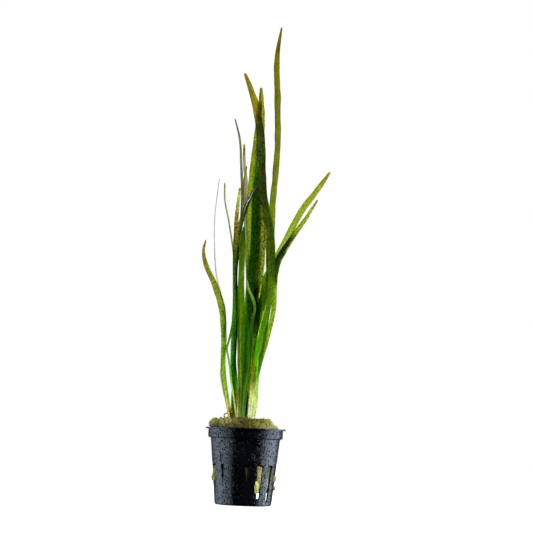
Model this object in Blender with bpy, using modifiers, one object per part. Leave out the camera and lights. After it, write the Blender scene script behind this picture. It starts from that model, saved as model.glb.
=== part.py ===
"""A tiger vallisneria standing in its black net pot, in metres, +Z up.

The origin is the centre of the pot's underside. The plant is seen from the front along +Y.
Driving sizes are in millimetres and MM turns them into metres.
"""

import math

import bmesh
import bpy
import numpy as np
from mathutils import Matrix, Vector, noise

MM = 0.001

# Net pot: a tapered cup with a stepped band and a thin flange round its mouth.
POT_HEIGHT = 49.0
FLANGE_RADIUS = 26.0
FLANGE_THICKNESS = 1.0
BAND_RADIUS = 24.3
BAND_HEIGHT = 5.2
STEP_RISE = 0.6
WALL_TOP_RADIUS = 22.3
FOOT_RADIUS = 17.9
FOOT_CORNER = 0.8
WALL = 1.0
FLOOR = 1.4
POT_STEPS = 60

# Slots: fifteen round the wall, long on the right half and short wedges on the left.
SLOT_COUNT = 15
FIRST_SLOT_DEG = 5.5
SLOT_TOP = 25.5
LONG_SLOTS = range(1, 7)
LONG_SLOT = {"bottom": 2.6, "top_width": 4.2, "bottom_width": 1.5}
WEDGE = {"top_width": 2.8, "bottom_width": 0.5}
WEDGE_BOTTOMS = {0: 15.5, 12: 10.5, 13: 14.0, 14: 16.0}
HIDDEN_WEDGE_BOTTOM = 12.0

# Stacking grooves above the slots, and drain slots through the floor.
GROOVE_COUNT = 6
FIRST_GROOVE_DEG = 15.0
GROOVE = {"width": 1.3, "height": 5.6, "depth": 0.4, "middle": 31.0}
DRAIN_COUNT = 6
DRAIN = {"width": 2.4, "inner": 6.5, "outer": 14.0}

# Rock wool: a plug jammed in the pot, with a torn mound above the flange. The mound leans to
# the left, rises to the right, and dips in an oval where the leaves come out.
WOOL_GAP = 0.4
WOOL_BOTTOM = 8.0
WOOL_TOP = 55.8
WOOL_AROUND = 36
WOOL_ALONG = 24
WOOL_EDGE = 1.5
WOOL_LUMP = 0.9
WOOL_LUMP_SIZE = 6.0
WOOL_LEAN = 1.6
WOOL_RISE = 0.04
MOUND_FADE = 3.2
MOUND_SHOULDER = 1.1
MOUND_TURN = 4.7
HOLLOW_CENTRE = (-2.2, -1.2)
HOLLOW_REACH = (14.4, 9.4)
HOLLOW_DEPTH = 5.8

# Leaves: the strap's thickness, and how far its middle stands back from its edges.
LEAF_THICKNESS = 0.6
LEAF_FOLD = 0.06
ROW_LENGTH = 11.0
NARROW_LEAF = 2.5

GREEN = (0.16, 0.33, 0.03)
DARK_GREEN = (0.03, 0.11, 0.01)
PALE_GREEN = (0.34, 0.48, 0.07)
OLIVE = (0.26, 0.30, 0.03)
BROWN = (0.22, 0.12, 0.03)
GREY_GREEN = (0.22, 0.28, 0.16)

# Each leaf is a run of stations from its base to its tip: x, y, z of the middle line, the width
# there, and the turn in degrees of the blade about its own line. Depth y is away from the front.
LEAVES = {
    "tall_leaf": (OLIVE, [
        (3.3, 0.9, 52.9, 3.2, 0), (5.6, 1.2, 82, 3.8, 0), (10.4, 2.0, 114, 4.2, 10),
        (13.2, 3.6, 146, 4.7, 25), (12.2, 7.0, 192, 5.2, 40), (13.7, 9.6, 240, 5.6, 45),
        (12.3, 10.0, 275, 5.0, 40), (11.3, 8.8, 299, 3.4, 25), (13.6, 7.4, 320, 0.8, 10),
    ]),
    "spotted_leaf": (OLIVE, [
        (2.6, -0.35, 52.9, 3.6, 0), (3.0, -0.5, 80, 4.4, 0), (2.8, -0.85, 110, 6.8, 0),
        (1.8, -1.3, 142, 10.0, 5), (2.5, -1.6, 172, 9.8, 12), (2.0, -2.4, 200, 8.5, 20),
        (2.8, -4.6, 232, 7.3, 35), (-0.9, -7.3, 259, 7.0, 45), (-5.6, -9.2, 273, 4.8, 40),
        (-9.9, -10.6, 283, 0.8, 20),
    ]),
    "broad_leaf": (PALE_GREEN, [
        (-2.4, 0.5, 52.9, 2.6, 0), (-2.3, 0.5, 78, 2.6, 0), (-1.0, 0.4, 108, 3.8, 0),
        (-1.4, 0.1, 142, 4.8, 5), (-0.9, -0.1, 166, 7.6, 10), (-1.3, -0.3, 188, 8.2, 16),
        (-1.0, 0.6, 212, 7.5, 26), (0.9, 3.6, 243, 7.8, 38), (1.4, 6.0, 262, 5.4, 35),
        (1.1, 8.0, 278, 1.4, 20),
    ]),
    "back_leaf": (OLIVE, [
        (3.6, 1.9, 52.9, 3.4, 0), (4.6, 2.3, 78, 4.0, 0), (8.2, 3.4, 106, 4.4, 8),
        (11.2, 4.8, 140, 4.7, 18), (10.6, 6.4, 172, 5.2, 28), (6.6, 8.6, 202, 5.5, 32),
        (3.7, 11.6, 232, 5.4, 32), (2.1, 14.6, 256, 3.8, 25), (1.0, 17.0, 273, 0.8, 15),
    ]),
    "far_leaf": (DARK_GREEN, [
        (2.4, 3.1, 52.9, 3.2, 0), (2.8, 4.1, 82, 3.8, -5), (4.0, 6.4, 116, 4.8, -10),
        (4.9, 9.6, 155, 5.4, -18), (4.8, 13.4, 195, 6.0, -28), (2.6, 18.0, 235, 5.2, -28),
        (-0.6, 22.6, 271, 0.8, -10),
    ]),
    "front_leaf": (DARK_GREEN, [
        (2.6, -5.4, 52.9, 3.4, 0), (4.9, -6.1, 82, 3.4, 0), (7.5, -7.2, 108, 3.8, 0),
        (12.0, -8.8, 135, 4.0, 10), (11.6, -10.8, 160, 6.0, 20), (9.8, -13.0, 182, 5.8, 32),
        (6.2, -15.0, 198, 5.4, 38), (4.3, -16.2, 211, 5.1, 35), (4.7, -16.8, 222, 1.0, 15),
    ]),
    "right_leaf": (PALE_GREEN, [
        (3.8, -3.2, 52.9, 3.2, 0), (5.0, -3.6, 82, 3.2, 0), (6.3, -4.1, 108, 3.2, 0),
        (8.8, -4.5, 134, 3.4, 10), (11.8, -4.4, 154, 3.8, 22), (19.5, -3.8, 169, 4.5, 35),
        (31.7, -2.8, 194, 4.7, 38), (41.8, -1.4, 209, 3.7, 35), (49.3, -0.2, 221, 0.8, 15),
    ]),
    "lower_right_leaf": (GREEN, [
        (4.6, -4.25, 52.9, 3.2, 0), (6.3, -4.6, 74, 3.4, 0), (6.9, -4.8, 86, 3.2, 0),
        (9.0, -5.1, 98, 3.4, 0), (12.1, -5.6, 113, 3.2, 0), (14.2, -6.3, 142, 3.6, 10),
        (16.6, -7.0, 158, 4.0, 25), (25.4, -8.4, 176.5, 4.1, 35), (33.8, -9.8, 190, 3.3, 32),
        (40.6, -10.8, 200.5, 0.8, 15),
    ]),
    "short_dark_leaf": (BROWN, [
        (1.5, -2.25, 52.9, 2.8, 0), (2.0, -2.55, 82, 2.8, 0), (2.8, -3.1, 108, 2.8, 0),
        (3.1, -3.9, 124, 2.2, 0), (2.5, -4.5, 140, 0.7, 0),
    ]),
    "short_green_leaf": (DARK_GREEN, [
        (2.1, -1.25, 52.9, 3.0, 0), (2.9, -1.45, 78, 3.0, 0), (3.8, -1.8, 100, 3.2, 0),
        (5.2, -2.5, 120, 3.6, 0), (6.4, -2.9, 134, 2.8, 0), (7.4, -3.1, 144, 0.7, 0),
    ]),
    "curly_leaf": (GREY_GREEN, [
        (-1.8, -4.2, 52.9, 1.6, 0), (-0.9, -5.4, 76, 1.8, 0), (0.4, -7.6, 98, 1.8, 10),
        (0.5, -9.4, 111, 1.9, 20), (1.6, -10.6, 120, 2.0, 25), (2.5, -11.6, 127.5, 2.0, 30),
        (0.4, -12.8, 134.5, 1.8, 30), (-1.8, -13.6, 138.5, 1.5, 25), (-3.1, -14.6, 145, 0.6, 15),
    ]),
    "light_green_leaf": (PALE_GREEN, [
        (-3.4, -3.2, 52.9, 2.4, 0), (-4.6, -3.8, 76, 2.8, 0), (-5.4, -4.8, 100, 3.6, 0),
        (-6.4, -6.2, 130, 4.0, 8), (-7.0, -7.6, 158, 4.0, 18), (-7.1, -8.6, 170, 3.0, 20),
        (-6.8, -9.4, 179.5, 0.8, 10),
    ]),
    "tan_leaf": (GREY_GREEN, [
        (-3.0, 1.5, 52.9, 1.8, 0), (-3.7, 2.0, 96, 2.0, 0), (-4.6, 3.2, 140, 2.0, 10),
        (-5.3, 5.2, 178, 2.2, 28), (-6.0, 7.6, 210, 2.4, 35), (-8.7, 9.6, 232, 1.8, 25),
        (-8.7, 10.2, 239.5, 0.7, 10),
    ]),
    "rimmed_leaf": (BROWN, [
        (-2.2, 2.5, 52.9, 1.6, 0), (-2.4, 3.4, 96, 1.8, 0), (-3.2, 6.0, 145, 1.8, 10),
        (-5.2, 9.5, 188, 1.7, 15), (-8.1, 12.0, 212, 1.5, 15), (-6.5, 13.2, 225, 0.7, 10),
    ]),
    "dark_leaf": (DARK_GREEN, [
        (-7.8, -2.6, 52.9, 3.4, 0), (-8.6, -3.0, 74, 3.6, 0), (-10.4, -3.5, 96, 3.8, 5),
        (-9.9, -4.2, 124, 3.8, 10), (-11.4, -5.4, 158, 3.4, 20), (-9.9, -6.8, 180, 3.6, 32),
        (-6.2, -8.2, 193, 3.5, 38), (-2.2, -9.6, 202.5, 2.7, 35), (1.6, -11.0, 210, 0.8, 15),
    ]),
    "brown_leaf": (BROWN, [
        (-8.2, -0.8, 52.9, 2.4, 0), (-9.6, -0.7, 90, 2.8, 0), (-10.6, -0.3, 130, 3.0, 10),
        (-11.6, 0.4, 166, 3.2, 25), (-11.5, 1.0, 188, 3.1, 32), (-10.3, 1.4, 208.5, 0.9, 15),
    ]),
    "slender_leaf": (GREY_GREEN, [
        (-7.4, 0.2, 52.9, 1.8, 0), (-9.0, 0.8, 94, 1.8, 0), (-9.5, 1.9, 130, 1.8, 10),
        (-9.5, 3.2, 164, 2.0, 28), (-7.8, 4.8, 196, 2.1, 35), (-9.6, 6.8, 224, 1.8, 35),
        (-11.4, 8.2, 243, 1.3, 25), (-15.4, 9.6, 256.5, 0.7, 15),
    ]),
    "olive_thread_leaf": (OLIVE, [
        (-8.6, 1.3, 52.9, 1.3, 0), (-10.0, 2.3, 96, 1.3, 0), (-11.2, 3.8, 138, 1.3, 0),
        (-13.1, 4.6, 166, 1.3, 0), (-14.8, 5.0, 176, 1.2, 0), (-17.1, 5.4, 188, 1.2, 0),
        (-20.2, 5.8, 200, 1.2, 0), (-20.9, 6.2, 213, 0.7, 0),
    ]),
    "grey_thread_leaf": (GREY_GREEN, [
        (-9.0, 2.4, 52.9, 1.2, 0), (-15.7, 3.0, 73, 1.0, 0), (-17.9, 3.4, 84, 1.0, 0),
        (-15.4, 4.0, 106, 1.0, 0), (-18.0, 4.8, 130, 1.0, 0), (-23.5, 5.6, 149, 1.0, 0),
        (-25.6, 6.4, 168, 1.0, 0), (-26.6, 7.2, 187, 1.0, 0), (-24.3, 8.2, 215, 0.7, 0),
    ]),
    "bent_leaf": (GREEN, [
        (-6.2, -3.7, 52.9, 1.4, 0), (-8.9, -4.3, 70, 1.4, 0), (-12.0, -4.7, 86, 1.4, 0),
        (-14.4, -3.4, 99, 1.3, 0), (-13.3, -2.3, 105.5, 1.2, 0), (-11.7, -1.9, 116, 1.2, 0),
        (-11.0, -1.8, 132, 0.7, 0),
    ]),
    "left_leaf": (OLIVE, [
        (-9.8, -3.9, 52.9, 2.4, 0), (-13.0, -4.2, 68, 2.8, 0), (-16.2, -4.6, 86, 3.2, 0),
        (-17.0, -5.4, 108, 3.4, 20), (-18.9, -6.4, 127, 4.6, 25), (-24.1, -7.8, 142, 4.4, 32),
        (-30.4, -9.4, 155, 3.3, 30), (-32.3, -10.4, 164, 1.9, 20), (-30.9, -11.2, 171, 0.7, 10),
    ]),
    "dead_stub": (BROWN, [
        (0.0, -3.3, 52.9, 1.6, 0), (-0.2, -3.4, 62, 1.4, 0), (0.1, -3.5, 70, 0.7, 0),
    ]),
    "pale_stub": (PALE_GREEN, [
        (-5.3, -1.5, 52.9, 1.4, 0), (-5.2, -1.6, 60, 1.3, 0), (-5.1, -1.7, 66, 0.7, 0),
    ]),
    "curled_scrap": (OLIVE, [
        (-13.8, -7.0, 56.6, 1.6, 90), (-14.3, -7.0, 57.8, 1.6, 90), (-13.8, -7.0, 59.0, 1.5, 90),
        (-12.7, -7.0, 59.4, 1.3, 90), (-12.0, -7.0, 59.0, 1.0, 90),
    ]),
}


def plain_material(name, colour, roughness):
    """A Principled material of one colour for a sub-part."""
    material = bpy.data.materials.new(name)
    material.use_nodes = True
    shader = material.node_tree.nodes["Principled BSDF"]
    shader.inputs["Base Color"].default_value = (*colour, 1.0)
    shader.inputs["Roughness"].default_value = roughness
    shader.inputs["Metallic"].default_value = 0.0
    return material


def object_of(mesh_source, name, collection):
    """An object made from a bmesh, in its collection."""
    mesh = bpy.data.meshes.new(name)
    mesh_source.to_mesh(mesh)
    mesh_source.free()
    made = bpy.data.objects.new(name, mesh)
    collection.objects.link(made)
    return made


def pot_profile():
    """The cup's section: from the floor's middle up the inside, round the flange, down the outside."""
    band_bottom = POT_HEIGHT - FLANGE_THICKNESS - BAND_HEIGHT
    return [
        (0.0, FLOOR),
        (FOOT_RADIUS - WALL, FLOOR),
        (WALL_TOP_RADIUS - WALL, band_bottom + STEP_RISE),
        (BAND_RADIUS - WALL, band_bottom + 2 * STEP_RISE),
        (BAND_RADIUS - WALL, POT_HEIGHT),
        (FLANGE_RADIUS, POT_HEIGHT),
        (FLANGE_RADIUS, POT_HEIGHT - FLANGE_THICKNESS),
        (BAND_RADIUS, POT_HEIGHT - FLANGE_THICKNESS),
        (BAND_RADIUS, band_bottom),
        (WALL_TOP_RADIUS, band_bottom - STEP_RISE),
        (FOOT_RADIUS, FOOT_CORNER),
        (FOOT_RADIUS - FOOT_CORNER / 2, 0.0),
        (0.0, 0.0),
    ]


def turned(name, profile, steps, collection):
    """A solid turned round Z from a section whose first and last points lie on the axis."""
    section = bmesh.new()
    points = [section.verts.new((radius * MM, 0.0, height * MM)) for radius, height in profile]
    for first, second in zip(points, points[1:]):
        section.edges.new((first, second))
    made = object_of(section, name, collection)
    screw = made.modifiers.new("turn", "SCREW")
    screw.steps = steps
    screw.render_steps = steps
    screw.use_merge_vertices = True
    screw.merge_threshold = 0.00001
    return made


def wall_radius(height):
    """The outer radius of the tapered wall at a height."""
    wall_top = POT_HEIGHT - FLANGE_THICKNESS - BAND_HEIGHT
    return FOOT_RADIUS + (WALL_TOP_RADIUS - FOOT_RADIUS) * height / wall_top


def add_block(cutters, angle_deg, reach, bottom, top, bottom_width, top_width):
    """Adds a block that points outwards at an angle; its sides slope where its two widths differ.

    The angle is measured from the front of the pot towards its right side.
    """
    inner, outer = reach
    block = bmesh.ops.create_cube(cutters, size=1.0)["verts"]
    for corner in block:
        width = top_width if corner.co.z > 0 else bottom_width
        corner.co = Vector((
            corner.co.x * width * MM,
            -(inner + (corner.co.y + 0.5) * (outer - inner)) * MM,
            (bottom + (corner.co.z + 0.5) * (top - bottom)) * MM,
        ))
    turn = Matrix.Rotation(math.radians(angle_deg), 3, "Z")
    bmesh.ops.rotate(cutters, verts=block, cent=(0, 0, 0), matrix=turn)


def pot_cutters(collection):
    """The wall slots, stacking grooves and floor drains, as closed blocks to take from the cup."""
    cutters = bmesh.new()
    for index in range(SLOT_COUNT):
        angle = FIRST_SLOT_DEG + index * 360.0 / SLOT_COUNT
        is_long = index in LONG_SLOTS
        shape = LONG_SLOT if is_long else WEDGE
        bottom = LONG_SLOT["bottom"] if is_long else WEDGE_BOTTOMS.get(index, HIDDEN_WEDGE_BOTTOM)
        reach = (wall_radius(bottom) - 3 * WALL, WALL_TOP_RADIUS + WALL)
        add_block(cutters, angle, reach, bottom, SLOT_TOP, shape["bottom_width"], shape["top_width"])
    for index in range(GROOVE_COUNT):
        angle = FIRST_GROOVE_DEG + index * 360.0 / GROOVE_COUNT
        bottom = GROOVE["middle"] - GROOVE["height"] / 2
        top = GROOVE["middle"] + GROOVE["height"] / 2
        reach = (wall_radius(GROOVE["middle"]) - GROOVE["depth"], WALL_TOP_RADIUS + WALL)
        add_block(cutters, angle, reach, bottom, top, GROOVE["width"], GROOVE["width"])
    for index in range(DRAIN_COUNT):
        angle = index * 360.0 / DRAIN_COUNT
        reach = (DRAIN["inner"], DRAIN["outer"])
        add_block(cutters, angle, reach, -FLOOR, 2 * FLOOR, DRAIN["width"], DRAIN["width"])
    bmesh.ops.recalc_face_normals(cutters, faces=cutters.faces)
    made = object_of(cutters, "pot_cutters", collection)
    made.hide_render = True
    made.display_type = "WIRE"
    return made


def build_pot(parts, cutters):
    """The cup with everything cut from it."""
    pot = turned("pot", pot_profile(), POT_STEPS, parts)
    pot.data.materials.append(plain_material("black_plastic", (0.012, 0.013, 0.016), 0.35))
    cut = pot.modifiers.new("slots", "BOOLEAN")
    cut.operation = "DIFFERENCE"
    cut.object = pot_cutters(cutters)
    return pot


def wool_profile():
    """The plug's section from the middle of its underside to the middle of its top."""
    band_bottom = POT_HEIGHT - FLANGE_THICKNESS - BAND_HEIGHT
    inside = WALL + WOOL_GAP
    mouth = BAND_RADIUS - inside - 0.3
    return np.array([
        (0.0, WOOL_BOTTOM),
        (wall_radius(WOOL_BOTTOM) - inside - WOOL_EDGE, WOOL_BOTTOM),
        (wall_radius(WOOL_BOTTOM) - inside, WOOL_BOTTOM + WOOL_EDGE),
        (wall_radius(band_bottom) - inside, band_bottom + WOOL_EDGE),
        (mouth - 0.4, POT_HEIGHT - 1.0),
        (mouth, POT_HEIGHT + 2.2),
        (mouth - MOUND_SHOULDER, WOOL_TOP - WOOL_EDGE),
        (mouth - MOUND_TURN, WOOL_TOP),
        (0.0, WOOL_TOP + 0.4),
    ])


def hollow_depth(x, y):
    """How far the wool's top dips round the foot of the plant: full in an oval, fading past it."""
    across = (x - HOLLOW_CENTRE[0]) / HOLLOW_REACH[0]
    deep = (y - HOLLOW_CENTRE[1]) / HOLLOW_REACH[1]
    return HOLLOW_DEPTH * math.exp(-((across * across + deep * deep) ** 3))


def build_wool(parts):
    """A round cage bent to the plug's section, with lumps on the mound and a dip for the plant."""
    cage = bmesh.new()
    bmesh.ops.create_uvsphere(cage, u_segments=WOOL_AROUND, v_segments=WOOL_ALONG, radius=1.0)
    section = wool_profile()
    steps = np.hypot(*np.diff(section, axis=0).T)
    along = np.concatenate([[0.0], np.cumsum(steps)]) / steps.sum()
    for vertex in cage.verts:
        latitude = 1.0 - math.acos(max(-1.0, min(1.0, vertex.co.z))) / math.pi
        angle = math.atan2(vertex.co.y, vertex.co.x)
        radius = float(np.interp(latitude, along, section[:, 0]))
        height = float(np.interp(latitude, along, section[:, 1]))
        spot = Vector((radius * math.cos(angle), radius * math.sin(angle), height))
        if height > POT_HEIGHT:
            lump = WOOL_LUMP * noise.noise(spot / WOOL_LUMP_SIZE)
            clear = min(1.0, (height - POT_HEIGHT) / MOUND_FADE)
            spot.z += clear * (lump + WOOL_RISE * spot.x) - hollow_depth(spot.x, spot.y)
            spot.x -= clear * WOOL_LEAN
        vertex.co = spot * MM
    wool = object_of(cage, "rock_wool", parts)
    wool.data.materials.append(plain_material("rock_wool", (0.20, 0.19, 0.07), 0.95))
    return wool


def smooth_run(stations, along):
    """Values at parameters 0 to 1 on a cubic through the stations, spaced by their distances apart.

    The slope at each station is the difference of its neighbours over their distance.
    """
    knots = np.concatenate([[0.0], np.cumsum(np.linalg.norm(np.diff(stations[:, :3], axis=0), axis=1))])
    slopes = np.gradient(stations, knots, axis=0)
    place = along * knots[-1]
    index = np.clip(np.searchsorted(knots, place, side="right") - 1, 0, len(knots) - 2)
    span = (knots[index + 1] - knots[index])[:, None]
    t = (place - knots[index])[:, None] / span
    return (
        (2 * t**3 - 3 * t**2 + 1) * stations[index]
        + (t**3 - 2 * t**2 + t) * span * slopes[index]
        + (3 * t**2 - 2 * t**3) * stations[index + 1]
        + (t**3 - t**2) * span * slopes[index + 1]
    )


def build_leaf(name, colour, stations, parts):
    """A flat grid laid along the leaf's line, as wide and as turned as its stations say, then thickened."""
    stations = np.array(stations, float)
    length = np.linalg.norm(np.diff(stations[:, :3], axis=0), axis=1).sum()
    rows = max(8, round(length / ROW_LENGTH))
    narrow = stations[:, 3].max() < NARROW_LEAF
    strip = bmesh.new()
    bmesh.ops.create_grid(strip, x_segments=1 if narrow else 2, y_segments=rows, size=1.0)
    strip.verts.ensure_lookup_table()
    grid = np.array([vertex.co[:2] for vertex in strip.verts])
    across = grid[:, 0:1]
    along = (grid[:, 1] + 1) / 2
    values = smooth_run(stations, along)
    nudge = 0.5 / length
    ahead = smooth_run(stations, np.minimum(along + nudge, 1.0))[:, :3]
    behind = smooth_run(stations, np.maximum(along - nudge, 0.0))[:, :3]
    tangent = ahead - behind
    tangent /= np.linalg.norm(tangent, axis=1, keepdims=True)
    side = np.cross(np.array([0.0, 1.0, 0.0]), tangent)
    side /= np.linalg.norm(side, axis=1, keepdims=True)
    facing = np.cross(tangent, side)
    turn = np.radians(values[:, 4:5])
    width = values[:, 3:4]
    turned_side = side * np.cos(turn) + facing * np.sin(turn)
    turned_facing = facing * np.cos(turn) - side * np.sin(turn)
    places = values[:, :3] + turned_side * across * width / 2
    if not narrow:
        places += turned_facing * LEAF_FOLD * width * (0.5 - np.abs(across))
    for vertex, place in zip(strip.verts, places):
        vertex.co = Vector(place) * MM
    leaf = object_of(strip, name, parts)
    thicken = leaf.modifiers.new("thickness", "SOLIDIFY")
    thicken.thickness = LEAF_THICKNESS * MM
    thicken.offset = 0.0
    leaf.data.materials.append(plain_material(name, colour, 0.4))
    return leaf


def main():
    for old in list(bpy.data.objects):
        bpy.data.objects.remove(old)
    parts = bpy.data.collections.new("potted_tiger_vallisneria")
    cutters = bpy.data.collections.new("cutters")
    for collection in (parts, cutters):
        bpy.context.scene.collection.children.link(collection)
    build_pot(parts, cutters)
    build_wool(parts)
    for name, (colour, stations) in LEAVES.items():
        build_leaf(name, colour, stations, parts)


main()
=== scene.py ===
# A tiger vallisneria in its black net pot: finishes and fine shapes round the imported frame.
import math
import bpy
import numpy as np
from mathutils import Matrix


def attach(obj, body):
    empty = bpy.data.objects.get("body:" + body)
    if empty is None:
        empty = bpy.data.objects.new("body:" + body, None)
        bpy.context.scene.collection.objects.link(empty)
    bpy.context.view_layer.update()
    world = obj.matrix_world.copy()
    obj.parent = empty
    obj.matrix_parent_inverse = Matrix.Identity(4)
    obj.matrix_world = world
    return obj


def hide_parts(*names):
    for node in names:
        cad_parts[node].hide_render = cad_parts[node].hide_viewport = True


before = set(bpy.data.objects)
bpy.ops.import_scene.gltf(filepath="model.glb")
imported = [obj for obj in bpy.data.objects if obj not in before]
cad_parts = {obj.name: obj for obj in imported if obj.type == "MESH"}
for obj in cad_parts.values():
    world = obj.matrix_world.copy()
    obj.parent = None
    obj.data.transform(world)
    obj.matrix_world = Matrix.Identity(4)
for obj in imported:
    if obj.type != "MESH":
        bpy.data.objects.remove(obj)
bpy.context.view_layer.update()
mm = 0.001
print("frame loaded:", len(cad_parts), "nodes")


# Small helpers: meshes

def gridQuads(rows, columns):
    # Quads between neighbouring rows and columns of a grid whose last column joins its first.
    row, column = np.meshgrid(np.arange(rows - 1), np.arange(columns), indexing="ij")
    here, after = row * columns + column, row * columns + (column + 1) % columns
    return np.stack((here, after, after + columns, here + columns), axis=-1).reshape(-1, 4)


def tubeFaces(rows, columns):
    # The quads of a closed grid, with one flat face over its first row and one over its last.
    first, last = list(range(columns)), list(range((rows - 1) * columns, rows * columns))
    return gridQuads(rows, columns).tolist() + [first[::-1], last]


def makePiece(name, points, faces, material, smooth=True):
    # A mesh object at the origin from arrays of points in metres and of faces.
    mesh = bpy.data.meshes.new(name)
    mesh.from_pydata(points, [], faces)
    mesh.validate()
    mesh.polygons.foreach_set("use_smooth", np.full(len(mesh.polygons), smooth))
    mesh.materials.append(material)
    piece = bpy.data.objects.new(name, mesh)
    bpy.context.scene.collection.objects.link(piece)
    return piece


def setAttribute(piece, name, kind, values):
    # One value for each point, which the materials read by its name.
    field = "vector" if kind == "FLOAT_VECTOR" else "value"
    flat = np.ascontiguousarray(values, np.float32).ravel()
    piece.data.attributes.new(name, kind, "POINT").data.foreach_set(field, flat)


def dress(piece, node=None):
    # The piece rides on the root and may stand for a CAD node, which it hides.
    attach(piece, "root")
    if node:
        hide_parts(node)


def unit(vectors):
    # Each row over its length.
    return vectors / np.linalg.norm(vectors, axis=1, keepdims=True)


def fromBearing(degrees, centre):
    # How far an angle is from a centre, from -180 to 180 degrees.
    return (degrees - centre + 180) % 360 - 180


def rippleField(points, size, seed, waves=24):
    # Smooth noise: the sum of sine waves in random directions, about as long as size, over the root of their number.
    draw = np.random.default_rng(seed)
    directions = unit(draw.normal(size=(waves, 3)))
    lengths = size * draw.uniform(0.7, 1.4, waves)
    phases = draw.uniform(0, 2 * np.pi, waves)
    return np.sin(points @ (directions.T * 2 * np.pi / lengths) + phases).sum(axis=1) / math.sqrt(waves)


# Small helpers: shader nodes, which all go into the tree that was started last

inHand = {}


def startTree(owner):
    # Empties the node tree of a material or world and takes it in hand.
    owner.use_nodes = True
    owner.node_tree.nodes.clear()
    inHand["tree"] = owner.node_tree
    return owner


def addNode(kind, values=None, **settings):
    # A shader node with its settings, and its inputs given as sockets to link or as constants.
    tree = inHand["tree"]
    made = tree.nodes.new("ShaderNode" + kind)
    for name, value in settings.items():
        setattr(made, name, value)
    for name, value in (values or {}).items():
        if isinstance(value, bpy.types.NodeSocket):
            tree.links.new(value, made.inputs[name])
        else:
            made.inputs[name].default_value = value
    return made


def screenColour(red, green, blue):
    # A colour as seen on a screen, 0 to 255, turned into light: share to the power 2.2.
    return tuple((value / 255) ** 2.2 for value in (red, green, blue)) + (1.0,)


def maths(operation, first, second=0.0, third=0.0):
    return addNode("Math", {0: first, 1: second, 2: third}, operation=operation).outputs[0]


def times(first, *others):
    # The product of all the values.
    for other in others:
        first = maths("MULTIPLY", first, other)
    return first


def scaled(value, slope, start):
    # The value times a slope, plus a start.
    return maths("MULTIPLY_ADD", value, slope, start)


def fade(value, low, high, lowTo=0.0, highTo=1.0):
    # Smooth step from lowTo to highTo as the value goes from low to high.
    values = {"Value": value, "From Min": low, "From Max": high, "To Min": lowTo, "To Max": highTo}
    return addNode("MapRange", values, interpolation_type="SMOOTHSTEP").outputs["Result"]


def fadeOut(value, low, high):
    return fade(value, low, high, 1.0, 0.0)


def window(value, start, full, ending, end):
    # Rises from 0 to 1 between start and full, and falls back between ending and end.
    return times(fade(value, start, full), fadeOut(value, ending, end))


def ramp(value, stops):
    # A colour ramp through (place, colour) stops.
    made = addNode("ValToRGB", {"Fac": value})
    elements = made.color_ramp.elements
    for index, (place, colour) in enumerate(stops):
        element = elements[index] if index < 2 else elements.new(place)
        element.position = place
        element.color = colour
    return made.outputs["Color"]


def blendColour(share, first, second, blend="MIX"):
    return addNode("Mix", {"Factor": share, 6: first, 7: second}, data_type="RGBA", blend_type=blend).outputs[2]


def tinted(colour, tint):
    # The product of two colours.
    return blendColour(1.0, colour, tint, "MULTIPLY")


def grey(value):
    # The same value as a colour, to multiply a colour by it.
    return addNode("CombineColor", {"Red": value, "Green": value, "Blue": value}).outputs["Color"]


def split(vector):
    return addNode("SeparateXYZ", {"Vector": vector}).outputs


def noiseAt(place, scale, detail, roughness=0.5, **settings):
    values = {"Vector": place, "Scale": scale, "Detail": detail, "Roughness": roughness}
    return addNode("TexNoise", values, **settings).outputs["Fac"]


def dots(place, scale, size, chance, **settings):
    # Round dots: 1 within the first size and 0 past the second, in the cells whose random value passes the chance.
    cells = addNode("TexVoronoi", {"Vector": place, "Scale": scale}, **settings).outputs
    value = addNode("SeparateColor", {"Color": cells["Color"]}).outputs["Red"]
    return times(fadeOut(cells["Distance"], *size), fade(value, *chance))


def bumped(height, strength, distance, under=None, **settings):
    # A normal with one more layer of relief, on top of the normal under it.
    values = {"Height": height, "Strength": strength, "Distance": distance}
    if under:
        values["Normal"] = under
    return addNode("Bump", values, **settings).outputs["Normal"]


# Net pot

# Sizes in mm, and angles in degrees from the front towards the right. The skin's columns that lie within slotColumns or
# drainColumns of an opening's middle close in to its edges, and spread out again over the settle length past its ends.
netPot = {
    "footRadius": 18.4, "wallTopRadius": 22.5, "bandRadius": 24.3, "flangeRadius": 26.0, "shift": -0.2,
    "wallTop": 42.2, "bandTop": 48.35, "rimTop": 48.52, "wall": 1.0, "edge": 0.14, "columns": 360,
    "slots": 15, "firstSlot": 5.5, "slotTop": 26.2, "slotColumns": 2.0, "slotSettle": 2.4,
    "longSlots": range(1, 7), "longBottom": 2.6, "longBottoms": {1: 4.8}, "longHalfTop": 2.35, "longHalfBottom": 1.0,
    "wedgeBottoms": {0: 15.5, 12: 10.5, 13: 14.0, 14: 16.0}, "wedgeBottom": 12.0,
    "wedgeHalfTop": 1.4, "wedgeHalfBottom": 0.25, "wideWedges": {12: 2.1},
    "grooves": 6, "firstGroove": 15.0, "grooveLow": 28.2, "grooveHigh": 33.8, "grooveHalf": 1.9, "grooveDepth": 0.4,
    "drains": 6, "drainInner": 6.5, "drainOuter": 14.0, "drainHalf": 1.2, "drainColumns": 4.5, "drainSettle": 2.0,
}


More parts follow.
